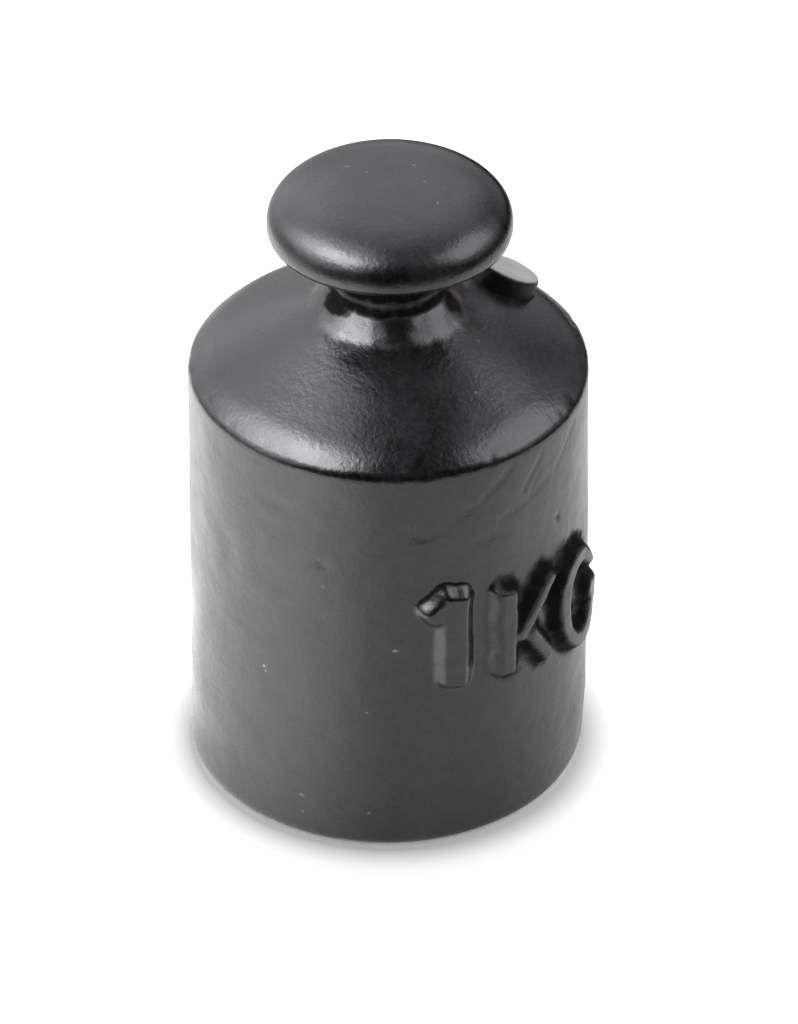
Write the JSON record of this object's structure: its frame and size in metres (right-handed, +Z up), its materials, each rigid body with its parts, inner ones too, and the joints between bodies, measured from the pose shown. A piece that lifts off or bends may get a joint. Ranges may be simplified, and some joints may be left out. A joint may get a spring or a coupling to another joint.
{
  "type": "scale weight",
  "caption": "Cylindrical cast iron scale weight with a sloping shoulder, a domed lifting knob and a lead-sealed adjusting cavity.",
  "frame": {"origin": "centre of the foot, on the surface that the weight stands on", "axes": "+Z up along the axis of the weight, -Y out of the side that carries the raised mark, +X to the right of it, near the seal"},
  "size_m": [0.0522, 0.0522, 0.0865],
  "materials": {
    "enamelled_iron": "black enamel over a rough casting",
    "shot_lead": "dull lead",
    "disc_brass": "dull brass",
    "seal_lead": "hammered lead, oxidised"
  },
  "bodies": {
    "root": {"weight_casting": "enamelled_iron", "lead_shot": "shot_lead", "closing_disc": "disc_brass", "lead_seal": "seal_lead"}
  },
  "joints": []
}
